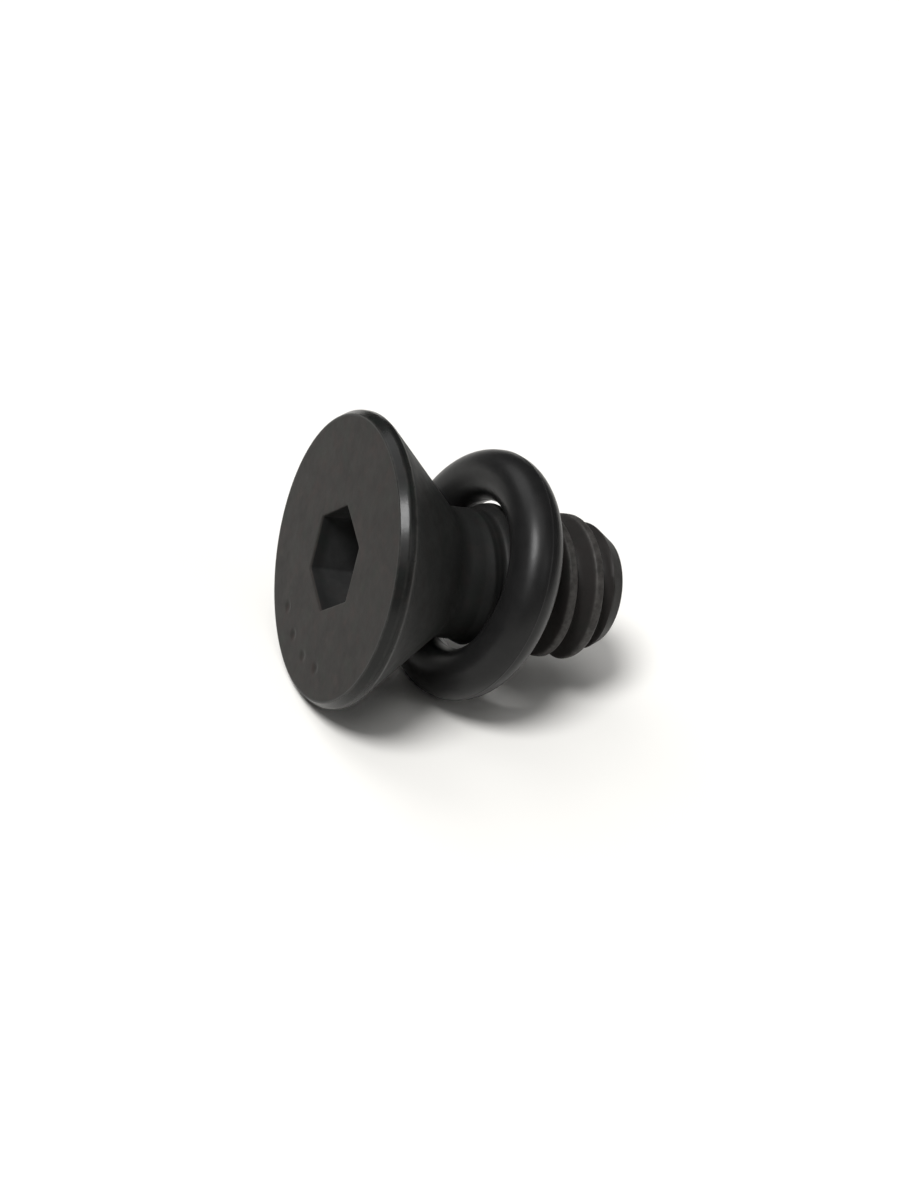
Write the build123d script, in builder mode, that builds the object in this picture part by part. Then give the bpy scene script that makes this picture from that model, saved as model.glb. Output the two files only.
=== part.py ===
from build123d import *
from math import radians, degrees, sin, cos, tan, sqrt
import os

os.makedirs("parts", exist_ok=True)

# Flat head (80 to 82 degree countersunk) hex socket screw, 1/4-20 UNC x 1/2 in, with
# a sealing O-ring slipped over its thread.
# It lies on its side on the floor, z = 0: on the rim of the head and on the
# bottom of the O-ring. The axis of the screw runs along +X, tip slightly down.
# Origin: middle of the footprint of the whole thing, on the floor.

# ---------------------------------------------------------------- dimensions
# screw: lengths along its axis, from the flat face of the head
head_r = 6.18            # radius of the rim
face_edge_r = 0.15       # rounded edge of the face: radial part
face_edge_h = 0.325      # rounded edge of the face: axial part
face_edge_sag = 0.07     # how far the edge bulges past its chord
rim_h = 0.64             # face to the end of the cylindrical rim
cone_h = 4.65            # face to the end of the cone, 81 degrees between sides
neck_r = 2.78            # plain neck under the cone
neck_h = 5.90            # face to the end of the neck
thread_r = 3.12          # crests of the thread
screw_l = 12.50          # face to tip
tip_r = 2.34             # flat end of the tip
chamfer_slope = 0.61     # tip chamfer, radius per length

# thread, right hand
pitch = 1.27
root_r = 2.38
crest_flat = 0.34
flank = 30.0             # degrees, each side
crest_phase = 0.572      # a crest on the top line of the screw, modulo the pitch
groove_first = 5.95      # middle of the groove where it begins, at the neck

# hex socket in the face
hex_af = 3.99
hex_depth = 2.95
hex_turn = -13.9         # one corner, from the top line towards -Y
drill_angle = 118.0      # cone at the bottom of the socket

# O-ring
ring_r = 4.325           # middle of the section
section_r = 1.10
ring_z = 6.484           # its centre, along the axis of the screw
ring_lift = 0.02         # its centre, above the axis of the screw, which rests in it
ring_side = -0.03        # and beside it, to -Y
ring_n = (0.9860, -0.1620, -0.0400)   # its axis: along the screw, up, to -Y


# ---------------------------------------------------------------------- pose
def heights(t):
    # height of the face centre with the rim on the floor, and height of the
    # bottom of the ring, when the axis of the screw is tilted by t
    face = head_r * cos(t) + rim_h * sin(t)
    middle = face - ring_z * sin(t) + ring_lift * cos(t)
    nz = -ring_n[0] * sin(t) + ring_n[1] * cos(t)
    return face, middle - ring_r * sqrt(1 - nz * nz) - section_r


low, high = radians(2), radians(20)
for _ in range(60):
    tilt = (low + high) / 2
    if heights(tilt)[1] > 0:
        low = tilt
    else:
        high = tilt

# ends of the screw along X, from the face centre
back_x = -(head_r - face_edge_r) * sin(tilt)
front_x = screw_l * cos(tilt) + tip_r * sin(tilt)

along = Vector(cos(tilt), 0, -sin(tilt))      # down the screw
up = Vector(sin(tilt), 0, cos(tilt))          # towards its top line
side = Vector(0, -1, 0)
face_c = Vector(-(back_x + front_x) / 2, 0, heights(tilt)[0])

screw_axis = Axis(face_c, along)
# half section: local x is the radius on the top line, local y the axis
half = Plane(origin=face_c, x_dir=up, z_dir=up.cross(along))
# the face, seen from outside: local x towards the top line, z into the screw
face_plane = Plane(origin=face_c, x_dir=up, z_dir=along)

# --------------------------------------------------------------------- screw
chamfer_z = screw_l - (thread_r - tip_r) / chamfer_slope
hex_r = hex_af / 2 / cos(radians(30))
drill_h = hex_af / 2 / tan(radians(drill_angle / 2))

# groove: half widths at the root and at the cutter's outer edge, which stands
# past the crests
over = 0.06
root_half = (pitch - crest_flat) / 2 - (thread_r - root_r) * tan(radians(flank))
over_half = root_half + (thread_r - root_r + over) * tan(radians(flank))
# it is cut from past the tip, on the bottom line, towards the head
groove_last = crest_phase + pitch / 2 + 9.5 * pitch

with BuildPart() as screw:
    # turned blank
    with BuildSketch(half):
        with BuildLine():
            Line((0, 0), (head_r - face_edge_r, 0))
            SagittaArc((head_r - face_edge_r, 0), (head_r, face_edge_h), face_edge_sag)
            Polyline(
                (head_r, face_edge_h), (head_r, rim_h), (neck_r, cone_h),
                (neck_r, neck_h), (thread_r, neck_h + thread_r - neck_r),
                (thread_r, screw_l), (0, screw_l), (0, 0))
        make_face()
    revolve(axis=screw_axis)

    # hex socket
    with BuildSketch(face_plane):
        RegularPolygon(radius=hex_r, side_count=6, rotation=hex_turn)
    extrude(amount=hex_depth, mode=Mode.SUBTRACT)

    # cone of its drill
    with BuildSketch(half):
        with BuildLine():
            Polyline(
                (0, hex_depth - 0.5), (hex_af / 2, hex_depth - 0.5),
                (hex_af / 2, hex_depth), (0, hex_depth + drill_h), close=True)
        make_face()
    revolve(axis=screw_axis, mode=Mode.SUBTRACT)

    # thread: a groove carried along a helix
    with BuildLine():
        Helix(
            pitch, groove_last - groove_first, root_r,
            center=face_c + along * groove_last, direction=-along)
    with BuildSketch(Plane(
            origin=face_c + along * groove_last - up * root_r,
            x_dir=-up, z_dir=along.cross(up))):
        with BuildLine():
            Polyline(
                (0, -root_half), (thread_r - root_r + over, -over_half),
                (thread_r - root_r + over, over_half), (0, root_half), close=True)
        make_face()
    sweep(is_frenet=True, mode=Mode.SUBTRACT)

    # tip chamfer, turned across the thread
    with BuildSketch(half):
        with BuildLine():
            Polyline(
                (tip_r, screw_l), (thread_r + 0.5, chamfer_z - 0.5 / chamfer_slope),
                (thread_r + 0.5, screw_l + 1), (tip_r, screw_l + 1), close=True)
        make_face()
    revolve(axis=screw_axis, mode=Mode.SUBTRACT)

screw.part.label = "screw"
export_step(screw.part, "parts/screw.step")

# -------------------------------------------------------------------- O-ring
ring_axis = along * ring_n[0] + up * ring_n[1] + side * ring_n[2]
ring_c = face_c + along * ring_z + up * ring_lift + side * ring_side
ring_x = side.cross(ring_axis).normalized()   # a radius of the ring

with BuildPart() as o_ring:
    with BuildSketch(Plane(origin=ring_c, x_dir=ring_x, z_dir=ring_x.cross(ring_axis))):
        with Locations((ring_r, 0)):
            Circle(section_r)
    revolve(axis=Axis(ring_c, ring_axis))

o_ring.part.label = "o_ring"
export_step(o_ring.part, "parts/o_ring.step")

print("tilt %.3f deg, face centre %s" % (degrees(tilt), face_c))
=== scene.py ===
import bpy, bmesh, math
from mathutils import Vector, Matrix


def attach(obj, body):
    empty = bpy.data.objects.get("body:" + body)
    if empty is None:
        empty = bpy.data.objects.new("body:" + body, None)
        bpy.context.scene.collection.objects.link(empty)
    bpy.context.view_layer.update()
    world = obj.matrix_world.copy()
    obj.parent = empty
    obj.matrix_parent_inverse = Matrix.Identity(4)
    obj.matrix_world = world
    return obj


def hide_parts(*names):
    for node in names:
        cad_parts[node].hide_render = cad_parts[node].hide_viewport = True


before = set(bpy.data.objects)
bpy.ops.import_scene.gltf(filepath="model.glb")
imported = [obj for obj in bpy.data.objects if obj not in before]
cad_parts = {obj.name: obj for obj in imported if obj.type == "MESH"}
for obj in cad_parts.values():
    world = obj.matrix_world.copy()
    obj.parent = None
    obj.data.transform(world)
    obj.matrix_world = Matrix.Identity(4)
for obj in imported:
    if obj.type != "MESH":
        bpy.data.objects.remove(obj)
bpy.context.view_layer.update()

# ------------------------------------------------------------------ frame
# lengths below are in millimetres, in the screw's own axes, and MM turns them
# into metres in the shared frame
MM = 0.001
TILT = math.radians(9.036768)
ALONG = Vector((math.cos(TILT), 0, -math.sin(TILT)))   # down the screw
UP = Vector((math.sin(TILT), 0, math.cos(TILT)))       # towards its top line
SIDE = Vector((0, -1, 0))
FACE = Vector((-5.882633, 0, 6.203816))                # centre of the head's face


def at(r, a, z):
    """A point of the screw: radius, angle in radians from the top line towards -Y, length from the face."""
    return (FACE + ALONG * z + UP * (r * math.cos(a)) + SIDE * (r * math.sin(a))) * MM


def smin(a, b, k):
    h = max(k - abs(a - b), 0.0) / k
    return min(a, b) - h * h * k * 0.25


def smax(a, b, k):
    return -smin(-a, -b, k)


def smooth(x, a, b):
    t = min(max((x - a) / (b - a), 0.0), 1.0)
    return t * t * (3 - 2 * t)


def finish_mesh(name, verts, faces, attrs, sharp_deg, kind=None, merge=2e-7):
    """Welds the grids into one closed mesh, with smooth faces and sharp edges."""
    me = bpy.data.meshes.new(name)
    me.from_pydata(verts, [], faces)
    if kind:
        me.polygons.foreach_set("material_index", kind)
    for key, values in attrs.items():
        at_ = me.attributes.new(key, "FLOAT", "POINT")
        at_.data.foreach_set("value", values)
    bm = bmesh.new()
    bm.from_mesh(me)
    bmesh.ops.remove_doubles(bm, verts=bm.verts, dist=merge)
    bmesh.ops.dissolve_degenerate(bm, edges=bm.edges, dist=merge)
    loose = [v for v in bm.verts if not v.link_faces]
    if loose:
        bmesh.ops.delete(bm, geom=loose, context="VERTS")
    bmesh.ops.recalc_face_normals(bm, faces=bm.faces)
    lim = math.radians(sharp_deg)
    for e in bm.edges:
        e.smooth = not (len(e.link_faces) == 2 and e.calc_face_angle(0.0) > lim)
    for f in bm.faces:
        f.smooth = True
    open_edges = sum(1 for e in bm.edges if len(e.link_faces) != 2)
    tris = sum(len(f.verts) - 2 for f in bm.faces)
    vol = bm.calc_volume()
    bm.to_mesh(me)
    bm.free()
    ob = bpy.data.objects.new(name, me)
    bpy.context.scene.collection.objects.link(ob)
    print("%s: %d triangles, %d open edges, %.2f mm3" % (name, tris, open_edges, vol * 1e9))
    return ob


# ------------------------------------------------------------------ screw
HEAD_R, RIM_H = 6.18, 0.64
# bevel round the face, as distance in from the rim and length from the face,
# with the wear of its two corners
BEVEL = (
    (0.240, 0.0, 0.05), (0.223, 0.003, 0.20), (0.209, 0.011, 0.30), (0.198, 0.025, 0.20),
    (0.170, 0.070, 0.0), (0.128, 0.138, 0.0), (0.086, 0.206, 0.0), (0.047, 0.268, 0.0),
    (0.025, 0.306, 0.08), (0.011, 0.340, 0.12), (0.003, 0.374, 0.08), (0.0, 0.410, 0.0))
CONE = math.tan(math.radians(40.29))
NECK_R = 2.78
PITCH, CREST_R, ROOT_R, CREST_FLAT = 1.27, 3.12, 2.38, 0.34
PHASE = 0.572
LENGTH, TIP_R, CHAMFER = 12.50, 2.34, 0.61
HEX_AF, HEX_DEPTH, HEX_TURN = 3.99, 2.95, math.radians(-13.9)
HEX_CORNER = 0.13                    # radius of the socket's upright corners
N = 288                              # columns round the screw
STEP = 2 * math.pi / N
CREST_OUT = (5.5, 7.0)               # the crests grow from nothing to full between these
ROOT_OUT = (6.1, 7.3)                # and the roots between these
JOIN_Z = 3.30                        # where the threaded grid takes over from the turned one


def hexagon(a, af, rho):
    """Radius of the socket's outline at an angle, with rounded corners."""
    t = (a - HEX_TURN) % (math.pi / 3)
    if t > math.pi / 6:
        t = math.pi / 3 - t          # from the nearest corner
    flat = math.pi / 6 - t           # from the middle of the flat
    r = af / 2 / math.cos(flat)
    d = (af / 2 - rho) / math.cos(math.pi / 6)
    s = rho * rho - (d * math.sin(t)) ** 2
    if s > 0:
        arc = d * math.cos(t) + math.sqrt(s)
        tangent = math.pi / 6 - math.atan((af / 2 - rho) * math.tan(math.pi / 6) / (af / 2))
        if t < tangent:
            r = arc
    return r


# shallow round dots pressed into the face, where the head carries its marks
DOTS = [(4.62, math.radians(d), 0.30, 0.055) for d in (-150, -168, 174, 156)]


def face_dip(r, a):
    dip = 0.0
    x, y = r * math.cos(a), r * math.sin(a)
    for dr, da, size, deep in DOTS:
        d = math.hypot(x - dr * math.cos(da), y - dr * math.sin(da))
        if d < size:
            dip += deep * (0.5 + 0.5 * math.cos(math.pi * d / size)) ** 0.7
    return dip


def thread_r(z, a):
    """Radius of the neck, thread and tip at a length and an angle."""
    s = (z - PHASE - PITCH * a / (2 * math.pi)) / PITCH
    s = abs(s - round(s)) * PITCH                      # from the nearest crest
    flank = CREST_R - (s - CREST_FLAT / 2) / math.tan(math.radians(30))
    r = smin(CREST_R + 0.004, flank, 0.11)
    out = smooth(z, *ROOT_OUT)
    r = smax(r, ROOT_R, 0.20 + 0.12 * (1 - out))
    # the thread runs out into the neck
    r = NECK_R + (r - NECK_R) * (smooth(z, *CREST_OUT) if r > NECK_R else out)
    # the cone of the head
    r = smax(r, HEAD_R - (z - RIM_H) * CONE, 0.30)
    # the tip's chamfer
    return smin(r, TIP_R + (LENGTH - z) * CHAMFER, 0.06)


def make_screw():
    verts, faces, wear_and_sheen, satin, tone, kind = [], [], [], [], [], []

    def ring(radii, zs, w, sat=0.0):
        """One row of N points, given as lists or numbers."""
        first = len(verts)
        for i in range(N):
            a = HEX_TURN + i * STEP
            r = radii[i] if isinstance(radii, list) else radii
            z = zs[i] if isinstance(zs, list) else zs
            verts.append(at(r, a, z))
            wear_and_sheen.append(w)
            satin.append(sat)
            tone.append(0.0)
        return first

    def bridge(p, q):
        for i in range(N):
            j = (i + 1) % N
            faces.append((p + i, p + j, q + j, q + i))
            kind.append(slot)

    slot = 2                         # the socket
    angles = [HEX_TURN + i * STEP for i in range(N)]
    # floor of the socket: its drill cone, from the middle out
    centre = len(verts)
    drill_r = HEX_AF / 2 * 0.985
    drill_h = drill_r / math.tan(math.radians(59))
    verts.append(at(0, 0, HEX_DEPTH + drill_h))
    wear_and_sheen.append(0.0)
    satin.append(0.0)
    tone.append(0.0)
    rows = []
    for t in (0.12, 0.3, 0.5, 0.7, 0.85, 0.95, 1.0):
        rows.append(ring(drill_r * t, HEX_DEPTH + drill_h * (1 - t), 0.0))
    for i in range(N):
        faces.append((centre, rows[0] + i, rows[0] + (i + 1) % N))
        kind.append(slot)
    # ledge, fillet and walls of the socket
    inner = [hexagon(a, HEX_AF, HEX_CORNER) for a in angles]
    rows.append(ring([r - 0.06 for r in inner], HEX_DEPTH, 0.0))
    rows.append(ring([r - 0.018 for r in inner], HEX_DEPTH - 0.018, 0.0))
    rows.append(ring(inner, HEX_DEPTH - 0.06, 0.0))
    for z in (2.4, 1.8, 1.2, 0.7, 0.35, 0.16):
        rows.append(ring(inner, z, 0.0))
    # softened mouth
    m = 0.07
    for k in range(0, 5):
        t = math.pi / 2 * k / 4
        grow = m * (1 - math.cos(t))
        rows.append(ring([r + grow for r in inner], m * (1 - math.sin(t)), 0.10 * math.sin(2 * t)))
    # the face
    on_mouth = len(rows)
    for t in (0.25, 0.6):
        rows.append(ring([(r + m) * (1 - t) + 2.62 * t for r in inner], 0.0, 0.0))
    r = 2.62
    radii = []
    while r < HEAD_R - BEVEL[0][0] - 0.03:
        radii.append(r)
        r += 0.055 if 4.2 < r < 5.05 else 0.11
    for r in radii:
        rows.append(ring(r, [face_dip(r, a) for a in angles], 0.0))
    # its bevel
    on_face = len(rows)
    for dr, z, w in BEVEL:
        rows.append(ring(HEAD_R - dr, z, w, 1.0))
    # rim, its lower edge and the cone
    for r, z, w in (
            (HEAD_R, 0.50, 0.0), (HEAD_R, 0.56, 0.05), (HEAD_R - 0.004, 0.595, 0.25),
            (HEAD_R - 0.018, 0.630, 0.35), (HEAD_R - 0.045, 0.667, 0.2)):
        rows.append(ring(r, z, w, 0.8))
    z = 0.74
    while z < JOIN_Z - 0.02:
        rows.append(ring(HEAD_R - (z - RIM_H) * CONE, z, 0.0))
        z += 0.16
    for k, (p, q) in enumerate(zip(rows, rows[1:])):
        slot = 2 if k < on_mouth - 5 else 1 if k < on_face - 1 else 0
        bridge(p, q)

    # neck, thread and tip: rows that follow the helix, cut off at both ends
    half = [0.0, 0.08, 0.12, 0.145, 0.165, 0.185, 0.215, 0.26, 0.33, 0.40, 0.46, 0.51, 0.555, 0.60]
    profile = sorted([-h for h in half[1:]] + half + [PITCH / 2])
    n0, n1 = 1, 11
    offs = [n * PITCH + p for n in range(n0, n1) for p in profile]
    J = len(offs)
    grid = []
    for i in range(N + 1):
        a = HEX_TURN + i * STEP
        turn = PHASE + PITCH * a / (2 * math.pi)
        col = []
        for s in offs:
            z = min(max(turn + s, JOIN_Z), LENGTH)
            r = thread_r(z, a)
            crest = smooth(r, CREST_R - 0.10, CREST_R - 0.02) if z > 4.5 else 0.0
            edge = smooth(z, LENGTH - 0.12, LENGTH)
            col.append(len(verts))
            verts.append(at(r, a, z))
            # the crests' lighter colour is partly worn bare metal and partly a painted highlight
            wear_and_sheen.append(max(0.55 * crest, 0.3 * edge))
            satin.append(0.0)
            tone.append(smooth(z, 6.6, 7.6))
        grid.append(col)
    # the first row meets the cone, and the last meets the flat of the tip
    for i in range(N):
        for j in range(J - 1):
            faces.append((grid[i][j], grid[i + 1][j], grid[i + 1][j + 1], grid[i][j + 1]))
            kind.append(0)
    join = ring([thread_r(JOIN_Z, a) for a in angles], JOIN_Z, 0.0)
    bridge(rows[-1], join)
    end = ring([thread_r(LENGTH, a) for a in angles], LENGTH, 0.3)
    flat = [end, ring(2.22, LENGTH + 0.0, 0.1), ring(1.5, LENGTH, 0.0), ring(0.6, LENGTH, 0.0)]
    for p, q in zip(flat, flat[1:]):
        bridge(p, q)
    tip = len(verts)
    verts.append(at(0, 0, LENGTH))
    wear_and_sheen.append(0.0)
    satin.append(0.0)
    tone.append(1.0)
    for i in range(N):
        faces.append((flat[-1] + (i + 1) % N, flat[-1] + i, tip))
        kind.append(0)
    # how far each point is down the screw picks out the cone
    down = [(v / MM - FACE).dot(ALONG) for v in verts]
    cone = [smooth(z, 0.5, 0.8) * (1 - smooth(z, 3.2, 4.9)) for z in down]
    return finish_mesh(
        "black_steel_screw", verts, faces,
        {"wear_and_sheen": wear_and_sheen, "satin": satin, "thread": tone, "cone": cone}, 38, kind)


# ----------------------------------------------------------------- O-ring
RING_R, SECTION = 4.325, 1.088
RING_Z, RING_LIFT, RING_SIDE = 6.484, 0.02, -0.03
RING_N = (0.9860, -0.1620, -0.0400)
FLASH = 0.013                        # mould line round the ring's outer and inner edges


def make_ring():
    n = (ALONG * RING_N[0] + UP * RING_N[1] + SIDE * RING_N[2]).normalized()
    c = FACE + ALONG * RING_Z + UP * RING_LIFT + SIDE * RING_SIDE
    u = (UP - n * UP.dot(n)).normalized()
    v = n.cross(u)
    cols = 256
    around = []
    for side in (0.0, math.pi):      # closer together at the mould lines
        around += [side + x for x in (-0.05, -0.03, -0.015, 0.0, 0.015, 0.03, 0.05)]
        around += [side + 0.05 + (math.pi - 0.1) * k / 30 for k in range(1, 30)]
    around = sorted(x % (2 * math.pi) for x in around)
    verts, faces, line = [], [], []
    K = len(around)
    for i in range(cols):
        a = 2 * math.pi * i / cols
        rad = u * math.cos(a) + v * math.sin(a)
        for b in around:
            near = min(abs(b), abs(b - 2 * math.pi), abs(b - math.pi))
            ridge = max(0.0, 1 - near / 0.032)
            s = SECTION + FLASH * ridge ** 1.5
            verts.append((c + rad * (RING_R + s * math.cos(b)) + n * (s * math.sin(b))) * MM)
            line.append(ridge)
    for i in range(cols):
        for k in range(K):
            faces.append((
                i * K + k, i * K + (k + 1) % K,
                ((i + 1) % cols) * K + (k + 1) % K, ((i + 1) % cols) * K + k))
    return finish_mesh("rubber_o_ring", verts, faces, {"line": line}, 60)


# -------------------------------------------------------------- materials
class Nodes:
    """A small helper that adds nodes to one material."""

    def __init__(self, name):
        self.mat = bpy.data.materials.new(name)
        self.mat.use_nodes = True
        self.tree = self.mat.node_tree
        self.bsdf = self.tree.nodes["Principled BSDF"]
        self.coord = self.tree.nodes.new("ShaderNodeTexCoord").outputs["Object"]

    def link(self, a, b):
        self.tree.links.new(a, b)
        return b

    def scaled(self, x, y, z):
        m = self.tree.nodes.new("ShaderNodeMapping")
        m.inputs["Scale"].default_value = (x * 1000, y * 1000, z * 1000)
        self.link(self.coord, m.inputs["Vector"])
        return m.outputs["Vector"]

    def noise(self, per_mm, detail=3.0, rough=0.55, vector=None, distortion=0.0):
        t = self.tree.nodes.new("ShaderNodeTexNoise")
        t.inputs["Scale"].default_value = per_mm
        t.inputs["Detail"].default_value = detail
        t.inputs["Roughness"].default_value = rough
        t.inputs["Distortion"].default_value = distortion
        self.link(vector or self.scaled(1, 1, 1), t.inputs["Vector"])
        return t.outputs["Fac"]

    def ramp(self, fac, lo, hi, a, b):
        m = self.tree.nodes.new("ShaderNodeMapRange")
        m.inputs["From Min"].default_value = lo
        m.inputs["From Max"].default_value = hi
        m.inputs["To Min"].default_value = a
        m.inputs["To Max"].default_value = b
        m.clamp = True
        self.link(fac, m.inputs["Value"])
        return m.outputs["Result"]

    def mix(self, fac, a, b):
        m = self.tree.nodes.new("ShaderNodeMix")
        m.data_type = "RGBA"
        if isinstance(fac, (int, float)):
            m.inputs["Factor"].default_value = fac
        else:
            self.link(fac, m.inputs["Factor"])
        for key, val in (("A", a), ("B", b)):
            sock = [s for s in m.inputs if s.name == key and s.type == "RGBA"][0]
            if isinstance(val, tuple):
                sock.default_value = (*val, 1)
            else:
                self.link(val, sock)
        return [s for s in m.outputs if s.type == "RGBA"][0]

    def math(self, op, a, b):
        m = self.tree.nodes.new("ShaderNodeMath")
        m.operation = op
        for i, val in enumerate((a, b)):
            if isinstance(val, (int, float)):
                m.inputs[i].default_value = val
            else:
                self.link(val, m.inputs[i])
        return m.outputs[0]

    def attribute(self, name):
        a = self.tree.nodes.new("ShaderNodeAttribute")
        a.attribute_name = name
        return a.outputs["Fac"]

    def bump(self, height, strength, distance_mm, after=None):
        b = self.tree.nodes.new("ShaderNodeBump")
        b.inputs["Strength"].default_value = strength
        b.inputs["Distance"].default_value = distance_mm * MM
        self.link(height, b.inputs["Height"])
        if after is not None:
            self.link(after, b.inputs["Normal"])
        return b.outputs["Normal"]


def black_oxide(name, light, dark):
    """Blacked steel: its two tones, with faint patches, and lighter rubbed edges and crests, the crests' lighter
    colour partly a painted highlight.
    """
    m = Nodes(name)
    tone = m.ramp(m.noise(0.8, 4, 0.6), 0.3, 0.7, 0, 1)
    col = m.mix(tone, dark, light)
    # the thread kept a little more brown
    col = m.mix(m.attribute("thread"), col, m.mix(tone, (0.0160, 0.0146, 0.0139), (0.0205, 0.0186, 0.0176)))
    # the cone is a shade lighter
    col = m.mix(m.attribute("cone"), col, m.mix(tone, tuple(c * 1.7 for c in dark), tuple(c * 2.0 for c in light)))
    # faint warm and greenish patches of the blacking
    warm = tuple(c * k for c, k in zip(light, (1.35, 1.02, 1.0)))
    green = tuple(c * k for c, k in zip(light, (0.80, 1.05, 0.92)))
    col = m.mix(m.ramp(m.noise(1.5, 2), 0.5, 0.75, 0, 0.45), col, warm)
    col = m.mix(m.ramp(m.noise(1.2, 2, vector=m.scaled(1.3, 1.1, 0.9)), 0.52, 0.8, 0, 0.6), col, green)
    # bare metal showing at rubbed edges; on the thread's crests the same lighter colour also paints their highlight
    rub_and_sheen = m.math("MULTIPLY", m.attribute("wear_and_sheen"), m.ramp(m.noise(3.0, 4, 0.65), 0.35, 0.65, 0.25, 1.0))
    col = m.mix(rub_and_sheen, col, (0.09, 0.086, 0.081))
    m.link(col, m.bsdf.inputs["Base Color"])
    return m, rub_and_sheen


def face_steel(name, light, dark, ior):
    m, _ = black_oxide(name, light, dark)
    rough = m.ramp(m.noise(2.2, 4, 0.6), 0.3, 0.7, 0.37, 0.45)
    m.link(rough, m.bsdf.inputs["Roughness"])
    m.bsdf.inputs["Metallic"].default_value = 0.0
    m.bsdf.inputs["IOR"].default_value = ior
    grain = m.bump(m.noise(16, 3, 0.6), 0.25, 0.010)
    wave = m.bump(m.noise(2.4, 2, 0.5), 0.25, 0.020, after=grain)
    m.link(wave, m.bsdf.inputs["Normal"])
    return m.mat


def turned_steel():
    m, _ = black_oxide("black_oxide_turned", (0.0130, 0.0133, 0.0128), (0.0098, 0.0101, 0.0098))
    rough = m.ramp(m.noise(2.2, 4, 0.6), 0.3, 0.7, 0.47, 0.57)
    smoother = m.ramp(m.noise(2.2, 4, 0.6), 0.3, 0.7, 0.21, 0.27)
    keep = m.tree.nodes.new("ShaderNodeMix")
    keep.data_type = "FLOAT"
    m.link(m.attribute("satin"), keep.inputs["Factor"])
    m.link(rough, [x for x in keep.inputs if x.name == "A" and x.type == "VALUE"][0])
    m.link(smoother, [x for x in keep.inputs if x.name == "B" and x.type == "VALUE"][0])
    m.link([x for x in keep.outputs if x.type == "VALUE"][0], m.bsdf.inputs["Roughness"])
    m.bsdf.inputs["Metallic"].default_value = 0.0
    m.bsdf.inputs["IOR"].default_value = 1.27
    grain = m.bump(m.noise(16, 3, 0.6), 0.20, 0.008)
    wave = m.bump(m.noise(2.4, 2, 0.5), 0.20, 0.015, after=grain)
    m.link(wave, m.bsdf.inputs["Normal"])
    return m.mat


def nitrile():
    m = Nodes("black_nitrile_rubber")
    tone = m.ramp(m.noise(1.1, 4, 0.6), 0.3, 0.7, 0, 1)
    col = m.mix(tone, (0.0098, 0.0098, 0.0100), (0.0132, 0.0130, 0.0130))
    # a little pale dust
    dust = m.ramp(m.noise(5.5, 6, 0.7), 0.60, 0.80, 0, 0.35)
    col = m.mix(dust, col, (0.02, 0.0195, 0.019))
    col = m.mix(m.ramp(m.attribute("line"), 0, 1, 0, 0.25), col, (0.03, 0.03, 0.03))
    m.link(col, m.bsdf.inputs["Base Color"])
    rough = m.ramp(m.noise(3.0, 4, 0.6), 0.3, 0.7, 0.31, 0.38)
    m.link(rough, m.bsdf.inputs["Roughness"])
    m.bsdf.inputs["Metallic"].default_value = 0.0
    m.bsdf.inputs["IOR"].default_value = 1.30
    grain = m.bump(m.noise(14, 3, 0.6), 0.22, 0.008)
    m.link(grain, m.bsdf.inputs["Normal"])
    return m.mat


def paper():
    m = Nodes("white_sweep")
    col = m.mix(m.noise(0.02, 2), (0.888, 0.876, 0.846), (0.905, 0.893, 0.862))
    m.link(col, m.bsdf.inputs["Base Color"])
    m.bsdf.inputs["Roughness"].default_value = 0.9
    m.bsdf.inputs["Specular IOR Level"].default_value = 0.1
    return m.mat


# ----------------------------------------------------------------- pieces
screw = make_screw()
screw.data.materials.append(turned_steel())
screw.data.materials.append(face_steel("black_oxide_face", (0.0295, 0.0272, 0.0256), (0.0210, 0.0195, 0.0184), 1.15))
# the socket takes a darker copy of the face's blacking, which partly paints the shade inside the recess
screw.data.materials.append(face_steel("black_oxide_socket_with_painted_shade", (0.0180, 0.0181, 0.0180), (0.0130, 0.0132, 0.0132), 1.2))
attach(screw, "root")
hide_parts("screw")

ring = make_ring()
ring.data.materials.append(nitrile())
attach(ring, "root")
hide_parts("o_ring")

# ------------------------------------------------------------------ stage
me = bpy.data.meshes.new("floor")
S = 3.0
me.from_pydata([(-S, -S, 0), (S, -S, 0), (S, S, 0), (-S, S, 0)], [], [(0, 1, 2, 3)])
floor = bpy.data.objects.new("floor", me)
bpy.context.scene.collection.objects.link(floor)
floor.data.materials.append(paper())

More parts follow.
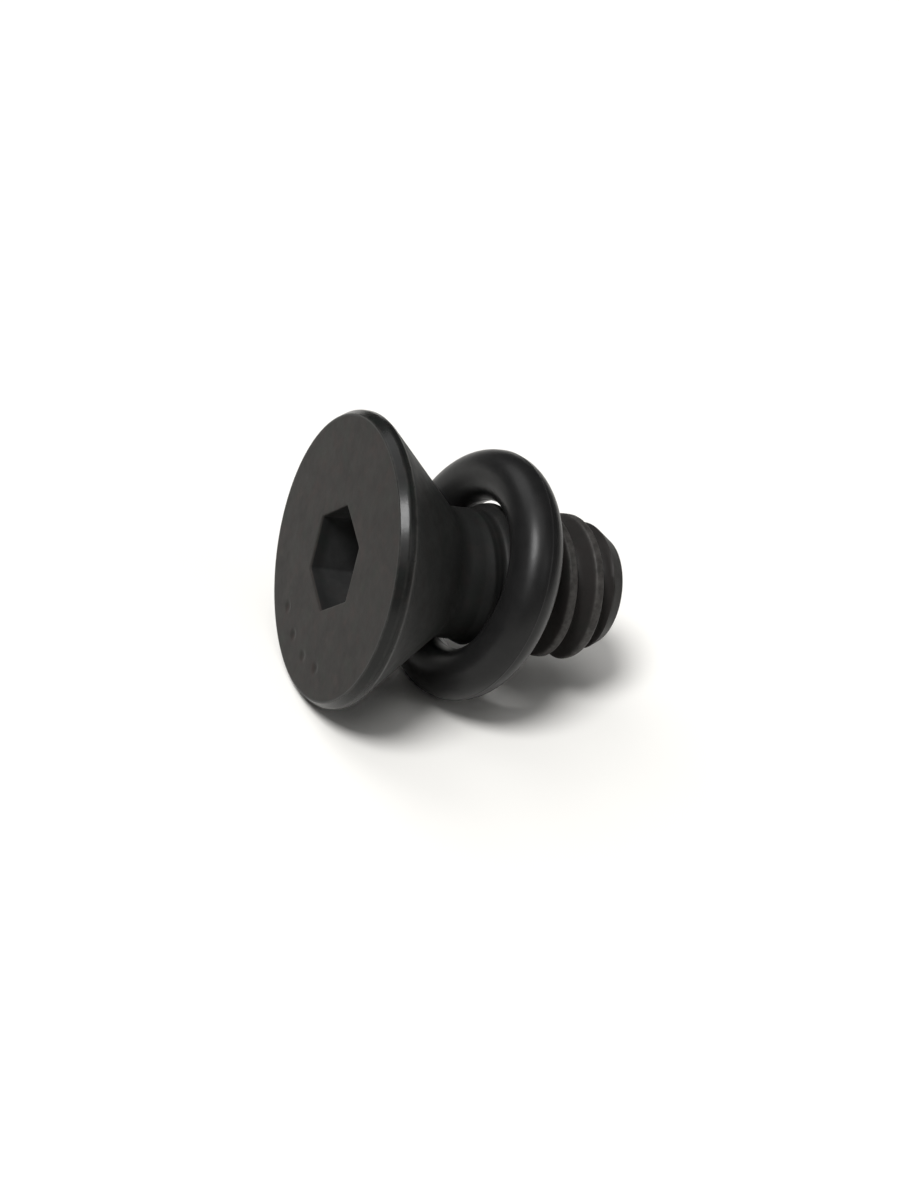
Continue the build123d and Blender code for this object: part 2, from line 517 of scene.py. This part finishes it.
scene = bpy.context.scene
scene.view_settings.view_transform = "Standard"
scene.view_settings.look = "None"

world = bpy.data.worlds.new("studio")
scene.world = world
world.use_nodes = True
wn, wl = world.node_tree.nodes, world.node_tree.links
bg = wn["Background"]
bg.inputs["Color"].default_value = (1, 1, 1, 1)
bg.inputs["Strength"].default_value = 0.02
seen = wn.new("ShaderNodeBackground")
seen.inputs["Color"].default_value = (1, 1, 1, 1)
seen.inputs["Strength"].default_value = 1.1
path = wn.new("ShaderNodeLightPath")
pick = wn.new("ShaderNodeMixShader")
wl.new(path.outputs["Is Camera Ray"], pick.inputs[0])
wl.new(bg.outputs[0], pick.inputs[1])
wl.new(seen.outputs[0], pick.inputs[2])
wl.new(pick.outputs[0], wn["World Output"].inputs["Surface"])


def soft(name, azimuth, elevation, width, share):
    """A wide soft light far off: its direction and width in degrees, its share of the floor's white."""
    light = bpy.data.lights.new(name, "SUN")
    light.energy = math.pi * share
    light.angle = math.radians(width)
    ob = bpy.data.objects.new(name, light)
    scene.collection.objects.link(ob)
    az, el = math.radians(azimuth), math.radians(elevation)
    d = Vector((math.cos(el) * math.cos(az), math.cos(el) * math.sin(az), math.sin(el)))
    ob.location = Vector((0, 0, 0.004)) + d * 0.3
    ob.rotation_euler = (-d).to_track_quat("-Z", "Y").to_euler()
    return ob


soft("key_softbox", 210, 60, 20, 0.84)
soft("front_fill", 226, 44, 26, 0.08)
soft("overhead_sheet", 225, 80, 50, 0.20)
soft("back_fill", 118, 50, 40, 0.22)
soft("right_fill", 300, 42, 26, 0.06)

# ----------------------------------------------------------------- camera
cam = bpy.data.cameras.new("camera")
cam.sensor_width = 36
cam.lens = 69.6
cam.clip_start = 0.005
cam.clip_end = 20
eye = bpy.data.objects.new("camera", cam)
scene.collection.objects.link(eye)
eye.matrix_world = Matrix((
    (0.922355, 0.027763, -0.385343, -0.0381484),
    (-0.332887, 0.563318, -0.756213, -0.0743917),
    (0.196077, 0.825774, 0.528822, 0.0559571),
    (0, 0, 0, 1)))
scene.camera = eye
